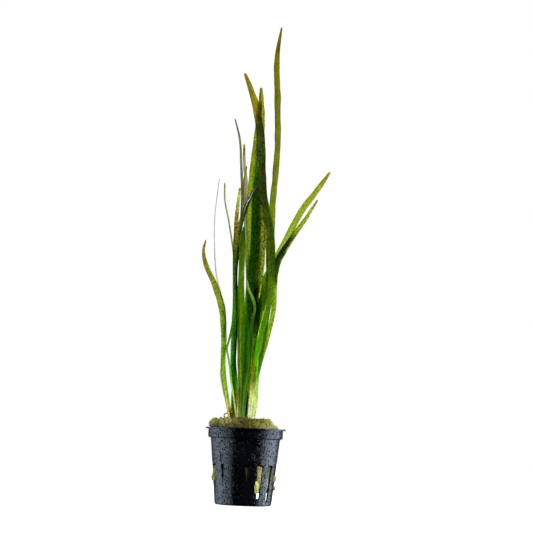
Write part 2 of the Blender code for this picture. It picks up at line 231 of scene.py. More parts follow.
def potRows():
    # Radius and height down the middle of the underside, round the foot, up the wall and out along the flange.
    p = netPot
    floor = [(r, 0.0) for r in (0.6, 2.0, 3.5, 5.0, 6.5, 8.0, 9.5, 11.0, 12.5, 14.0, 15.0, 16.0, 16.7, 17.1)]
    foot = [(17.3 + 1.08 * math.sin(a), 1.1 - 1.1 * math.cos(a)) for a in np.radians((25, 45, 65, 85))]
    heights = [1.4, 2.0, 2.6, 3.6, 4.8, 6.2, 7.6, 9.0, 10.5, 12.0, 14.0, 15.5, 16.0, 17.5, 19.0, 20.5, 22.0, 23.5,
               24.8, 26.2, 26.8, 27.3, 27.8, 28.2, 28.6, 29.4, 30.4, 31.4, 32.4, 33.3, 33.8, 34.4, 35.4, 36.8, 38.2,
               39.6, 41.0, 41.8]
    wall = [(wallRadius(z), z) for z in heights]
    step = [(22.65, 42.67), (23.0, 42.81), (23.5, 43.0), (24.0, 43.19), (24.22, 43.35), (p["bandRadius"], 43.65)]
    band = [(p["bandRadius"], z) for z in (44.6, 45.8, 47.0, 48.0, p["bandTop"])]
    flange = [(24.42, 48.5)] + [(r, p["rimTop"]) for r in (24.9, 25.5, p["flangeRadius"])]
    return np.array(floor + foot + wall + step + band + flange)


def wallRadius(height):
    # The wall's slope: its radius grows evenly from the foot to the wall's top.
    return netPot["footRadius"] + (netPot["wallTopRadius"] - netPot["footRadius"]) / netPot["wallTop"] * height


def settled(half, atRest, share):
    # From an opening's half width to the columns' places at rest, by a share from 0 to 1.
    calm = np.clip(share, 0, 1)
    return half * (1 - calm) + atRest * calm


def slotBottom(index):
    p = netPot
    if index in p["longSlots"]:
        return p["longBottoms"].get(index, p["longBottom"])
    return p["wedgeBottoms"].get(index, p["wedgeBottom"])


def slotShape(index, height):
    # Half the slot's width in degrees at each height, and where the slot is open. It widens evenly to its top.
    p = netPot
    bottom = slotBottom(index)
    low, high = p["wedgeHalfBottom"], p["wideWedges"].get(index, p["wedgeHalfTop"])
    if index in p["longSlots"]:
        low, high = p["longHalfBottom"], p["longHalfTop"]
    share = np.clip((height - bottom) / (p["slotTop"] - bottom), 0, 1)
    half = np.degrees((low + (high - low) * share) / wallRadius(height))
    past = np.maximum(bottom - height, height - p["slotTop"])
    isOpen = (height > bottom - 1e-6) & (height < p["slotTop"] - 1e-6)
    return settled(half, p["slotColumns"], past / p["slotSettle"]), isOpen


def potSurface():
    # A point at angle a and row i lies at radius r(i), height z(i), a little further in where a groove is. Columns are
    # a degree apart at rest; beside a slot or a drain they slide to follow its edges, and the quads between those are
    # left open.
    p = netPot
    radius, height = potRows().T
    base = np.arange(p["columns"]) + p["firstSlot"] % 1
    angle = np.tile(base, (len(height), 1))
    isFloor = height < 1e-6
    isOpen = np.zeros(angle.shape, bool)

    def opening(centre, pitch, columns, half, isHole, rows):
        # Columns at rest within a few degrees of the centre spread evenly over half its width, and the ones from there
        # to half the pitch spread over what is left.
        offset = fromBearing(base, centre)
        mine = np.abs(offset) < pitch / 2 + 0.001
        away, side, edge = np.abs(offset[mine]), np.sign(offset[mine]), half[:, None]
        moved = np.where(away <= columns, away * edge / columns,
                         edge + (away - columns) * (pitch / 2 - edge) / (pitch / 2 - columns))
        angle[:, mine] = np.where(rows[:, None], centre + side * moved, angle[:, mine])
        isOpen[:] |= (isHole & rows)[:, None] & (offset >= -columns - 0.001) & (offset < columns - 0.001)

    for index in range(p["slots"]):
        pitch = 360 / p["slots"]
        opening(p["firstSlot"] + index * pitch, pitch, p["slotColumns"], *slotShape(index, height), ~isFloor)
    half = np.degrees(p["drainHalf"] / np.clip(radius, p["drainInner"], p["drainOuter"]))
    past = np.maximum(p["drainInner"] - radius, radius - p["drainOuter"])
    half = settled(half, p["drainColumns"], past / p["drainSettle"])
    isDrain = (radius > p["drainInner"] - 1e-6) & (radius < p["drainOuter"] - 1e-6)
    for index in range(p["drains"]):
        pitch = 360 / p["drains"]
        opening(index * pitch, pitch, p["drainColumns"], half, isDrain, isFloor)
    grooved = np.zeros(angle.shape)
    for index in range(p["grooves"]):
        offset = np.abs(fromBearing(base, p["firstGroove"] + index * 360 / p["grooves"]))
        grooved += (offset < p["grooveHalf"]) * ((height > p["grooveLow"]) & (height < p["grooveHigh"]))[:, None]
    reach = radius[:, None] - p["grooveDepth"] * grooved
    turn = np.radians(angle)
    level = np.tile(height[:, None], (1, p["columns"]))
    points = np.stack([reach * np.sin(turn) + p["shift"], -reach * np.cos(turn), level], axis=-1)
    return points.reshape(-1, 3), gridQuads(len(height), p["columns"])[~isOpen[:-1].ravel()]


# The noises' scale, detail and roughness, the dots' scale, sizes and chances, and the blacks and greys as light.
potPlastic = {
    "grain": (1500.0, 3.0, 0.7), "cloud": (120.0, 2.0), "drops": (520.0, 4.0, 0.75), "sides": (0.005, 0.012),
    "pits": (640.0, (0.24, 0.42), (0.2, 0.28)), "specks": (760.0, (0.16, 0.4), (0.62, 0.85)),
    "black": (0.0008, 0.0009, 0.0016, 1), "dust": (0.003, 0.0033, 0.005, 1),
    "mottled": (0.035, 0.04, 0.05, 1), "speck": (0.22, 0.25, 0.3, 1),
}


def blackPlastic():
    # Moulded black plastic, dusty where it has dried: its two sides are mottled, pitted and specked, its front less so.
    # The paler mottle and specks are kept to the sides where the highlights fall: partly painted light.
    p = potPlastic
    material = startTree(bpy.data.materials.new("blackPlastic"))
    place = addNode("TexCoord").outputs["Object"]
    grain, cloud, drops = (noiseAt(place, *p[name]) for name in ("grain", "cloud", "drops"))
    # dustyLitSides: the two lit sides, which carry the dust, pits and paler specks; their paler colour is partly
    # painted light.
    dustyLitSides = fade(maths("ABSOLUTE", split(place)["X"]), *p["sides"], 0.06, 1.0)
    pits = times(dots(place, *p["pits"]), scaled(dustyLitSides, 0.85, 0.15))
    proud = maths("SUBTRACT", 1.0, pits)
    normal = bumped(grain, 0.2, 0.0001)
    normal = bumped(times(dustyLitSides, fade(drops, 0.3, 0.7)), 0.6, 0.00012, normal)
    normal = bumped(pits, 1.0, 0.00018, normal, invert=True)
    colour = blendColour(fade(cloud, 0.35, 0.7), p["black"], p["dust"])
    colour = blendColour(times(dustyLitSides, proud, fade(drops, 0.48, 0.64)), colour, p["mottled"])
    colour = blendColour(times(dots(place, *p["specks"]), proud, scaled(dustyLitSides, 0.93, 0.07)), colour, p["speck"])
    roughness = scaled(pits, 0.85, fade(grain, 0.38, 0.62, 0.08, 0.18))
    shader = addNode("BsdfPrincipled", {"Base Color": colour, "Roughness": roughness, "Normal": normal,
                                        "Specular IOR Level": 0.5})
    addNode("OutputMaterial", {"Surface": shader.outputs["BSDF"]})
    return material


def makePot():
    # The outer skin with a fan closing the middle of its floor; the wall grows inwards and its edges are rounded.
    points, faces = potSurface()
    ring = np.arange(netPot["columns"])
    fan = np.stack([np.full(len(ring), len(points)), (ring + 1) % len(ring), ring], axis=-1)
    points = np.concatenate([points, np.zeros((1, 3))])
    piece = makePiece("netPot", points * mm, faces.tolist() + fan.tolist(), blackPlastic())
    thick = piece.modifiers.new("wall", "SOLIDIFY")
    thick.thickness = netPot["wall"] * mm
    thick.offset = -1.0
    thick.use_even_offset = True
    soft = piece.modifiers.new("softEdges", "BEVEL")
    soft.width = netPot["edge"] * mm
    soft.segments = 2
    soft.limit_method = "ANGLE"
    soft.angle_limit = math.radians(40)
    soft.harden_normals = True
    dress(piece, "pot")


makePot()
print("pot done")


# Rock wool

# In mm and degrees: the section as radius and height, the ripples as length and height, how far the wool swells into
# each slot, the lengths and radii of the loose strands and thicker tufts, and the wads as bearing, distance out,
# height, half width, half depth and half height. A strand in a slot is shorter, by slotShare.
rockWool = {
    "profile": [(0.0, 8.3), (15.6, 8.3), (17.0, 10.0), (20.4, 42.0), (22.0, 45.5), (22.4, 48.0), (22.9, 50.2),
                (22.6, 52.4), (20.6, 53.8), (15.0, 54.6), (8.0, 55.0), (0.0, 54.4)],
    "rows": 200, "columns": 320, "mouth": 49.0, "mouthRise": 3.2, "lean": 1.6, "shoulder": 2.6, "shoulderFrom": 17.0,
    "shoulderRun": 2.0, "domeFrom": 46, "domeSlope": 26, "calmTo": 47, "calmRun": 4, "calmest": 0.25,
    "ripples": [(9.0, 0.5), (4.2, 0.5), (1.9, 0.42), (0.8, 0.2)],
    "folds": 0.45, "foldWave": 9.0, "foldBend": (8, 14.0), "foldsBelow": 55, "looseAbove": 50, "jammedRipple": 0.25,
    "bulges": {12: 2.4, 1: 1.9, 2: 0.9, 3: 1.4, 4: 2.0, 5: 1.6, 6: 1.4, 13: -0.6, 14: -1.0, 0: -1.0},
    "bulgeLow": 9.0, "bulgeEdge": 1.4, "bulgeWidth": 0.95, "bulgeRise": 2.5, "bulgeFall": 1.5,
    "strands": 2300, "strandsAbove": 49.8, "slotStrands": 500, "slotsBelow": 25.0, "slotsBeyond": 19.2,
    "strandLength": (1.5, 4.2), "strandRadius": (0.04, 0.10), "strandCurl": (-0.02, 0.16), "strandSteps": 7,
    "tufts": 800, "tuftLength": (1.2, 3.0), "tuftRadius": (0.12, 0.26), "slotShare": 0.5, "strandShade": (-0.5, 0.9),
    "wads": [(24.5, 19.7, 11.8, 1.6, 0.9, 3.6), (-76.0, 20.3, 19.0, 2.4, 0.7, 5.6), (-82.0, 20.5, 17.2, 1.2, 0.9, 1.7),
             (84.0, 20.0, 17.6, 1.6, 1.2, 2.2), (87.0, 19.7, 11.6, 1.2, 1.1, 1.6)],
    "wadRows": 20, "wadColumns": 28, "wadPole": 0.06, "wadRipples": [(1.3, 0.16), (0.5, 0.07)],
}


def woolSurface():
    # A closed skin turned round the pot's axis: radius and height follow the section by its length, lean left above the
    # mouth, swell into the open slots and carry four sizes of ripples and upright folds.
    w = rockWool
    section = np.array(w["profile"])
    steps = np.concatenate([[0.0], np.cumsum(np.hypot(*np.diff(section, axis=0).T))])
    along = np.linspace(0, steps[-1], w["rows"])
    angle = np.arange(w["columns"]) * 2 * np.pi / w["columns"]
    reach, level = (np.tile(np.interp(along, steps, values)[:, None], (1, w["columns"])) for values in section.T)
    for index, swell in w["bulges"].items():
        offset = np.abs(fromBearing(np.degrees(angle)[None, :], netPot["firstSlot"] + index * 360 / netPot["slots"]))
        half, _ = slotShape(index, level[:, :1])
        opening = np.clip((half * w["bulgeWidth"] - offset) / w["bulgeEdge"], 0, 1)
        rise = (level - max(slotBottom(index), w["bulgeLow"])) / w["bulgeRise"]
        fall = (netPot["slotTop"] - level) / w["bulgeFall"]
        reach += swell * np.sqrt(opening) * np.clip(rise, 0, 1) * np.clip(fall, 0, 1)
    above = np.clip((level - w["mouth"]) / w["mouthRise"], 0, 1)
    x, y = reach * np.sin(angle), -reach * np.cos(angle)
    shoulder = w["shoulder"] * np.clip((x - w["shoulderFrom"]) / w["shoulderRun"], 0, 1) * above
    points = np.stack([x - w["lean"] * above, y, level - shoulder], axis=-1).reshape(-1, 3)
    x, y, z = points.T
    rough = sum(size * rippleField(points, length, 11 + row) for row, (length, size) in enumerate(w["ripples"]))
    bend = w["foldBend"][0] * rippleField(points, w["foldBend"][1], 31)
    folds = np.sin((np.degrees(np.arctan2(x, -y)) + bend) * 2 * np.pi / w["foldWave"])
    rough += w["folds"] * folds * (z < w["foldsBelow"])
    rough = np.where(z > w["looseAbove"], rough, np.minimum(rough, w["jammedRipple"]))
    rough = rough * np.clip((z - w["calmTo"]) / w["calmRun"], w["calmest"], 1)
    normal = np.stack([x, y, w["domeSlope"] * (z - w["domeFrom"]) * (z > w["domeFrom"])], axis=-1)
    return points, normal / (np.linalg.norm(normal, axis=1, keepdims=True) + 1e-9), rough


def wadSurface(bearing, out, height, half, proud, tall, seed):
    # A torn wad on the wall: a rippled ball, stretched along the wall, out of it and up it.
    rows, columns, pole = (rockWool[name] for name in ("wadRows", "wadColumns", "wadPole"))
    down, around = np.meshgrid(np.linspace(pole, np.pi - pole, rows), np.arange(columns) * 2 * np.pi / columns,
                               indexing="ij")
    ball = np.stack([np.sin(down) * np.cos(around), np.sin(down) * np.sin(around), np.cos(down)], axis=-1)
    ball = ball.reshape(-1, 3)
    ripples = enumerate(rockWool["wadRipples"])
    swell = sum((size * rippleField(ball, length, seed + row) for row, (length, size) in ripples), 1)
    ball = ball * swell[:, None] * np.array([half, proud, tall])
    turn = math.radians(bearing)
    outward, sideways = np.array([math.sin(turn), -math.cos(turn), 0]), np.array([math.cos(turn), math.sin(turn), 0])
    points = outward * (out + ball[:, 1:2]) + sideways * ball[:, 0:1] + np.array([netPot["shift"], 0, height])
    points[:, 2] += ball[:, 2]
    quads = gridQuads(rows, columns)[:, ::-1].tolist()
    first, last = list(range(columns)), list(range((rows - 1) * columns, rows * columns))
    return points, quads + [first, last[::-1]], swell - 1


# Places in metres for the painted shade: mound and shadedAbove are heights, wet and slotShade reach from left to
# right, slotShadeFront is how near the front, shaded is past an edge on the right, and moundShadeAcross is how dark the
# mound's painted shade is from one place to the other.
feltLook = {
    "tones": [(0.3, (180, 172, 88)), (0.5, (206, 200, 112)), (0.7, (228, 224, 150))], "mound": (0.03, 0.05),
    "wet": (-0.013, -0.006, 0.008, 0.018), "moundShadeAcross": (0.004, 0.014, 0.42, 0.24), "centreShadeTint": (0.98, 0.98, 0.58, 1),
    "slotShade": (-0.02, -0.016, 0.0062, 0.0075), "slotShadeFront": (-0.012, -0.004),
    "shaded": (0.0125, 0.0135), "shadedAbove": (0.017, 0.021),
}


def woolFelt():
    # Torn mineral wool: olive, with painted shade in the hollows, over the mound and most in its middle, in the middle
    # slots at the front and behind the pot's bars, and painted light on the tips.
    f = feltLook
    material = startTree(bpy.data.materials.new("woolFelt"))
    place = addNode("TexCoord").outputs["Object"]
    x, y, z = split(place)
    fine = noiseAt(place, 1400.0, 4.0, 0.7)
    height = addNode("Attribute", attribute_name="woolHeight").outputs["Fac"]
    base = ramp(noiseAt(place, 130.0, 3.0), [(share, screenColour(*tone)) for share, tone in f["tones"]])
    above = fade(z, *f["mound"])
    # Painted shade: over the mound, more to the left and most in its middle, in the middle slots at the front, and
    # behind the pot's right bars.
    wet = window(x, *f["wet"])
    mound = times(above, scaled(wet, 0.34, fade(x, *f["moundShadeAcross"])))
    shaded = times(fade(x, *f["shaded"]), fade(z, *f["shadedAbove"]), maths("SUBTRACT", 0.6, times(above, 0.6)))
    slotShade = times(window(x, *f["slotShade"]), fadeOut(y, *f["slotShadeFront"]), maths("SUBTRACT", 1.0, above))
    paintedShade = scaled(slotShade, 0.85, maths("ADD", mound, shaded))
    # The wool's height out of its skin also paints shade into the hollows and light onto the tips.
    shade = times(fade(fine, 0.38, 0.62, 0.4, 1.4), fade(height, -0.9, 0.9, 0.42, 1.22), maths("SUBTRACT", 1.0, paintedShade))
    # The middle of the mound, in its painted shade, is tinted yellower.
    colour = blendColour(times(wet, above), tinted(base, grey(shade)), f["centreShadeTint"], "MULTIPLY")
    shader = addNode("BsdfPrincipled", {"Base Color": colour, "Roughness": 0.9, "Normal": bumped(fine, 0.8, 0.0004),
                                        "Sheen Weight": 0.08, "Sheen Roughness": 0.5})
    addNode("OutputMaterial", {"Surface": shader.outputs["BSDF"]})
    return material


def strandTubes(starts, directions, normals, lengths, radii, curls, seed):
    # Each strand runs from its start along its direction, arches away from the surface and sways sideways. Its tube has
    # three sides and thins to a point at both ends.
    draw = np.random.default_rng(seed)
    steps = rockWool["strandSteps"]
    t = np.linspace(0, 1, steps)[None, :, None]
    side = np.cross(directions, normals)
    sway = (draw.uniform(-1, 1, (len(starts), 1, 1)) * np.sin(np.pi * t)
            + draw.uniform(-0.6, 0.6, (len(starts), 1, 1)) * np.sin(2 * np.pi * t))
    arch = curls[:, None, None] * np.sin(np.pi * t)
    path = starts[:, None, :] + lengths[:, None, None] * (
        directions[:, None, :] * (t - 0.5) + normals[:, None, :] * arch + side[:, None, :] * 0.3 * sway)
    thick = radii[:, None, None, None] * np.sqrt(np.maximum(1 - (2 * t - 1) ** 2, 0.02))[:, :, None, :]
    turn = np.array([0, 2, 4])[None, None, :, None] * np.pi / 3
    ring = normals[:, None, None, :] * np.cos(turn) + side[:, None, None, :] * np.sin(turn)
    points = path[:, :, None, :] + ring * thick
    count = steps * 3
    offsets = (np.arange(len(starts)) * count)[:, None, None]
    sides = (gridQuads(steps, 3)[None] + offsets).reshape(-1, 4)
    caps = np.array([[2, 1, 0], [count - 3, count - 2, count - 1]])
    ends = (caps[None] + offsets).reshape(-1, 3)
    return points.reshape(-1, 3), sides.tolist() + ends.tolist()


def makeWool():
    # The plug's skin without the rows at its two poles, strands that start at random points of it, and the wads.
    w = rockWool
    points, normal, outward = woolSurface()
    surface = points + normal * outward[:, None]
    inner = slice(w["columns"], -w["columns"])
    felt = woolFelt()
    plug = makePiece("woolPlug", surface[inner] * mm, tubeFaces(w["rows"] - 2, w["columns"]), felt)
    # woolHeight also sets the felt's painted shade in the hollows and painted light on the tips.
    setAttribute(plug, "woolHeight", "FLOAT", outward[inner])
    dress(plug, "rock_wool")

    draw = np.random.default_rng(5)
    x, y, z = surface.T
    onMound = np.flatnonzero(z > w["strandsAbove"])
    inSlots = np.flatnonzero((z < w["slotsBelow"]) & (np.hypot(x, y) > w["slotsBeyond"]))
    picked = np.concatenate([draw.choice(onMound, w["strands"]), draw.choice(inSlots, w["slotStrands"])])
    count, away = len(picked), normal[picked]
    heading = draw.normal(size=(count, 3))
    heading = unit(heading - away * (heading * away).sum(axis=1, keepdims=True))
    lengths = draw.uniform(*w["strandLength"], count)
    lengths[w["strands"]:] *= w["slotShare"]
    radii = draw.uniform(*w["strandRadius"], count)
    curls = draw.uniform(*w["strandCurl"], count)
    lengths[:w["tufts"]] = draw.uniform(*w["tuftLength"], w["tufts"])
    radii[:w["tufts"]] = draw.uniform(*w["tuftRadius"], w["tufts"])
    tubes, faces = strandTubes(surface[picked], heading, away, lengths, radii, curls, 6)
    strands = makePiece("woolStrands", tubes * mm, faces, felt)
    heights = draw.uniform(*w["strandShade"], count)
    setAttribute(strands, "woolHeight", "FLOAT", np.repeat(heights, w["strandSteps"] * 3))
    dress(strands)
    for number, wad in enumerate(w["wads"]):
        points, faces, swell = wadSurface(*wad, 40 + 3 * number)
        blob = makePiece("woolWad%d" % number, points * mm, faces, felt)
        setAttribute(blob, "woolHeight", "FLOAT", 0.3 + 2 * swell)
        dress(blob)


makeWool()
print("wool done")


# Leaves

# In mm, apart from fold, waver and flutter, which are shares of the width.
leafShape = {
    "thickness": 0.5, "edge": 0.1, "columns": 13, "rowsPerMm": 1.1, "woolTop": 54, "sunk": 2.2, "tipRound": 1.6,
    "fold": 0.06, "waver": 0.025, "waverWave": 14, "flutter": 0.035, "flutterWave": 17,
}
tissue = {
    "wander": 0.16, "patchEdge": 0.12, "veinPitch": 0.9, "fleckDots": ((0.12, 0.34), (0.08, 0.25)),
    "fleckTones": ((0.09, 0.03, 0.004, 1), (0.2, 0.55, 0.03, 1)), "fleckGlow": (0.04, 0.03, 0.003, 1),
    "glowLift": (1.4, 1.4, 1.4, 1), "frontTints": ((0.28, 0.5, 0.18, 1), (1, 1, 1, 1)),
    "roughness": 0.42, "gloss": 0.14,
}

# Each leaf: its slot, how strong its dark flecks, lengthwise streaks and margins are, how fine its flecks are across
# and along it and the height where they end, its line as (x, y, z, width, turn) from foot to tip in mm and degrees,
# with no turn where it is 0, its colours against the light as (height, red, green, blue), and its patches of another
# colour, some of them painted shade and painted highlights, each with its reach across the blade (-1 left to 1 right),
# its reach in height and its colour. What a leaf doesn't say is as in leafUsual.
leafUsual = {"flecks": 0.5, "fleckSize": (0.94, 0.77), "fleckTop": 400, "streaks": 0.3, "margin": 0.2, "patches": []}
leaves = {}
leaves["tallLeaf"] = {
    "slot": "leaf_olive", "flecks": 0.25, "fleckSize": (0.58, 0.48), "streaks": 0.15, "margin": 0.3,
    "line": [
        (3.3, 0.9, 52.9, 3.2), (5.2, 1.2, 82, 3.6), (9.4, 2, 114, 3.8, 10), (12.7, 3.6, 146, 4.6, 25),
        (11.6, 7, 192, 5.4, 40), (13.5, 9.6, 240, 5.7, 45), (12.1, 10, 275, 5.5, 40), (11, 8.8, 299, 3.8, 25),
        (13.4, 7.4, 320, 1, 10)],
    "colours": [
        (53, 190, 205, 110), (100, 106, 150, 22), (170, 112, 130, 16), (215, 116, 121, 18), (290, 110, 102, 16),
        (318, 104, 88, 18)],
    "patches": [((-0.6, 1.3), (303, 306), (86, 70, 12))],
}
leaves["spottedLeaf"] = {
    "slot": "leaf_olive", "flecks": 1.0, "fleckSize": (0.55, 0.5), "fleckTop": 240, "streaks": 0.35, "margin": 0.25,
    "line": [
        (2.6, -0.35, 52.9, 3.6), (3, -0.5, 80, 4.4), (2.5, -0.85, 110, 6.2), (2.1, -1.3, 142, 10, 5),
        (3.05, -1.6, 172, 10.2, 12), (2, -2.4, 200, 8.7, 20), (2.6, -4.6, 232, 7.3, 35), (-1.4, -7.3, 259, 7.2, 45),
        (-6, -9.2, 273, 5, 40), (-10.2, -10.6, 283, 1.6, 20)],
    "colours": [
        (53, 225, 232, 160), (80, 150, 190, 60), (110, 80, 140, 24), (138, 108, 122, 34), (205, 122, 128, 42),
        (236, 136, 130, 30), (262, 142, 124, 24), (282, 130, 108, 20)],
    "patches": [
        ((-1.4, -0.05), (120, 222), (66, 124, 26)), ((0.82, 1.5), (118, 178), (130, 156, 40)),
        # Painted shade where the far leaf lies behind, on a tip that also browns: the patches from 222 to 263 mm high.
        ((-0.25, 0.5), (113, 144), (44, 50, 12)), ((-0.85, 1.5), (240, 252), (82, 82, 22)),
        ((-0.85, 1.5), (222, 240), (94, 112, 40)), ((-0.3, 1.5), (251, 258), (88, 66, 14)),
        ((0.25, 1.5), (256, 263), (110, 90, 18))],
}
leaves["broadLeaf"] = {
    "slot": "leaf_pale_green", "flecks": 0.9, "fleckSize": (0.8, 1.05), "margin": 0.25,
    "line": [
        (-2.6, 0.5, 52.9, 3), (-2.2, 0.5, 78, 3.6), (-2.3, 0.4, 104, 4.6), (-2, 0.1, 128, 4.9, 3),
        (-1.3, 0.1, 144, 5, 5), (-1.1, 0, 156, 6, 8), (-0.8, -0.1, 167, 7.3, 10), (-1.3, -0.3, 188, 8.4, 16),
        (-1.5, 0.6, 212, 7.7, 24), (1, 3.6, 243, 7.9, 26), (1.5, 6, 262, 5.6, 30), (1.1, 8, 278, 1.7, 20)],
    "colours": [
        (53, 190, 215, 120), (72, 114, 174, 42), (90, 58, 130, 18), (118, 56, 128, 18), (148, 120, 166, 24),
        (170, 176, 194, 32), (215, 148, 160, 26), (250, 146, 154, 30), (262, 142, 142, 34), (277, 130, 132, 36)],
    "patches": [
        # Painted shade where the far leaf lies behind, on a tip that also browns: the patches that start at 226 mm or
        # higher.
        ((-0.25, 1.5), (126, 228), (80, 122, 26)), ((-0.35, 0.6), (232, 252), (90, 92, 24)),
        ((-1.5, 0.2), (252, 262), (92, 62, 18)), ((-0.35, 0.3), (252, 268), (80, 50, 14)),
        ((0.3, 1.5), (226, 241), (86, 88, 24))],
}
leaves["backLeaf"] = {
    "slot": "leaf_olive", "flecks": 0.6, "fleckSize": (0.62, 0.52), "margin": 0.3,
    "line": [
        (3.6, 1.9, 52.9, 3.4), (4.6, 2.3, 78, 4), (8.4, 3.4, 106, 4.2, 8), (11, 4.8, 140, 4.7, 18),
        (10.2, 6.4, 172, 5.2, 28), (6, 8.6, 202, 5.5, 32), (3.1, 11.4, 230, 5.4, 32), (1.3, 13.4, 246, 4, 28),
        (0.6, 14.8, 256, 3, 25), (0.3, 17, 269, 1, 15)],
    "colours": [
        (53, 200, 215, 130), (95, 116, 158, 28), (150, 134, 158, 24), (195, 150, 160, 24), (220, 110, 104, 24),
        (238, 66, 48, 14), (262, 84, 54, 12), (268, 130, 84, 16)],
}
leaves["farLeaf"] = {
    "slot": "leaf_dark_green", "fleckSize": (0.62, 0.52), "margin": 0.3,
    "line": [
        (2.4, 3.1, 52.9, 3.2), (2.4, 4.1, 82, 3.8, -5), (2.6, 6.4, 116, 4.6, -10), (2.3, 9.6, 155, 5.2, -18),
        (2.1, 13.4, 195, 5.6, -28), (1.4, 18, 235, 5, -28), (-1, 22.6, 266, 0.8, -10)],
    "colours": [
        (53, 180, 200, 110), (95, 110, 140, 40), (160, 130, 150, 50), (200, 100, 110, 40), (230, 66, 80, 30),
        (265, 80, 60, 20)],
}
leaves["frontLeaf"] = {
    "slot": "leaf_dark_green", "flecks": 0.4, "fleckSize": (0.54, 0.44), "streaks": 0.4,
    "line": [
        (1.7, -5.4, 52.9, 2.8), (2, -5.6, 64.6, 3.2), (2.4, -5.8, 71, 3.7), (2.7, -6, 77.6, 4.5), (3.3, -6.2, 84, 4.9),
        (4.2, -6.5, 90.7, 4.1), (5, -6.8, 98, 3), (5.5, -7, 104, 2.9), (7, -7.3, 111, 3.6), (12, -8.8, 135, 4.3, 10),
        (11.6, -10.8, 160, 6, 20), (9.8, -13, 182, 5.8, 32), (6.2, -15, 198, 5.4, 38), (4.3, -16.2, 211, 5.1, 35),
        (4.7, -16.8, 222, 1.6, 15)],
    "colours": [
        (53, 234, 248, 196), (64, 234, 244, 172), (72, 214, 212, 112), (79, 190, 192, 76), (88, 158, 184, 45),
        (98, 118, 216, 33), (108, 120, 206, 32), (120, 138, 192, 37), (144, 158, 188, 49), (158, 134, 154, 42),
        (174, 118, 130, 32), (190, 98, 114, 34), (200, 74, 84, 18), (214, 86, 88, 22), (221, 92, 70, 24)],
    "patches": [
        ((-1.5, 0.2), (80, 94), (183, 192, 46)), ((0.15, 1.5), (89, 97), (122, 222, 32)),
        ((0.6, 1.5), (81, 91), (130, 234, 38)), ((-1.5, -0.72), (58, 84), (176, 166, 66)),
        ((-1.5, -0.8), (138, 190), (110, 78, 26)), ((-1.5, -0.66), (108, 130), (200, 220, 60)),
        ((0.5, 1.5), (150, 200), (122, 142, 36))],
}
leaves["rightLeaf"] = {
    "slot": "leaf_pale_green", "flecks": 0.3, "fleckSize": (0.62, 0.52), "margin": 0.15,
    "line": [
        (3, -3.2, 52.9, 2.8), (4, -3.6, 78, 3), (6.9, -4.1, 106, 3), (9.2, -4.5, 134, 3.4, 10),
        (12, -4.4, 154, 3.8, 22), (19.2, -3.8, 169.3, 4.7, 35), (31.4, -2.8, 194.3, 5, 38), (41.6, -1.4, 209.2, 4, 35),
        (49.2, -0.2, 220.8, 1.4, 15)],
    "colours": [
        (53, 245, 250, 195), (72, 226, 244, 120), (92, 140, 206, 34), (125, 144, 184, 30), (160, 158, 178, 30),
        (190, 158, 176, 28), (208, 154, 154, 26), (220, 150, 130, 26)],
    "patches": [((0.6, 1.5), (160, 218), (134, 142, 24))],
}
leaves["lowerRightLeaf"] = {
    "slot": "leaf_green", "fleckSize": (0.62, 0.52), "margin": 0.15,
    "line": [
        (3.9, -4.25, 52.9, 2.8), (4.8, -4.45, 60, 3.2), (5.3, -4.6, 68, 3.4), (5.6, -4.7, 77, 2.9),
        (5.9, -4.8, 84, 2.8), (7.1, -4.9, 91, 3), (10.3, -5.3, 104, 3.2), (12.4, -5.6, 113, 3.1),
        (14.9, -6, 128, 3.2, 4), (14.7, -6.3, 142, 3.8, 10), (15.7, -7, 156.5, 5, 25), (25.8, -8.4, 175.6, 4.1, 35),
        (34.9, -9.8, 189.6, 2.7, 32), (41, -10.8, 200.1, 1.2, 15)],
    "colours": [
        (53, 240, 248, 196), (66, 212, 232, 118), (77, 194, 236, 108), (86, 140, 196, 40), (100, 134, 172, 30),
        (125, 124, 154, 32), (148, 128, 152, 28), (170, 152, 174, 30), (190, 152, 176, 28), (199, 140, 138, 26)],
    "patches": [
        ((-1.5, 0.5), (143, 177), (38, 66, 6)), ((0.3, 0.85), (143, 167), (38, 66, 6)),
        ((-1.5, -0.2), (96, 112), (120, 130, 30))],
}
leaves["shortDarkLeaf"] = {
    "slot": "leaf_brown", "flecks": 0.6, "fleckSize": (0.54, 0.44), "streaks": 0.5, "margin": 0.3,
    "line": [
        (2.3, -2.25, 52.9, 4.4), (2.5, -2.35, 70, 5.4), (2.6, -2.55, 82, 5.2), (2.5, -2.8, 95, 3.8),
        (2.7, -3.1, 108, 3.4), (3.1, -3.9, 124, 2.6), (2.5, -4.5, 140, 1)],
    "colours": [
        (53, 238, 250, 206), (70, 238, 246, 178), (82, 188, 200, 68), (94, 172, 204, 42), (108, 140, 190, 32),
        (120, 50, 76, 14), (130, 26, 32, 8), (139, 30, 20, 8)],
    "patches": [((-1.5, -0.55), (70, 90), (180, 170, 56))],
}
leaves["shortGreenLeaf"] = {
    "slot": "leaf_dark_green", "fleckSize": (0.62, 0.52),
    "line": [
        (2.1, -1.25, 52.9, 3), (2.9, -1.45, 78, 3), (3.8, -1.8, 100, 3.2), (5.2, -2.5, 120, 3.8), (6.9, -2.9, 136, 4.2),
        (8, -3, 146, 3), (9, -3.1, 152.5, 1)],
    "colours": [
        (53, 230, 236, 170), (85, 130, 170, 44), (104, 60, 110, 22), (118, 22, 70, 10), (130, 26, 66, 10),
        (142, 56, 100, 18), (150, 90, 134, 26)],
    "patches": [((-1.5, -0.66), (134, 146), (200, 226, 44))],
}
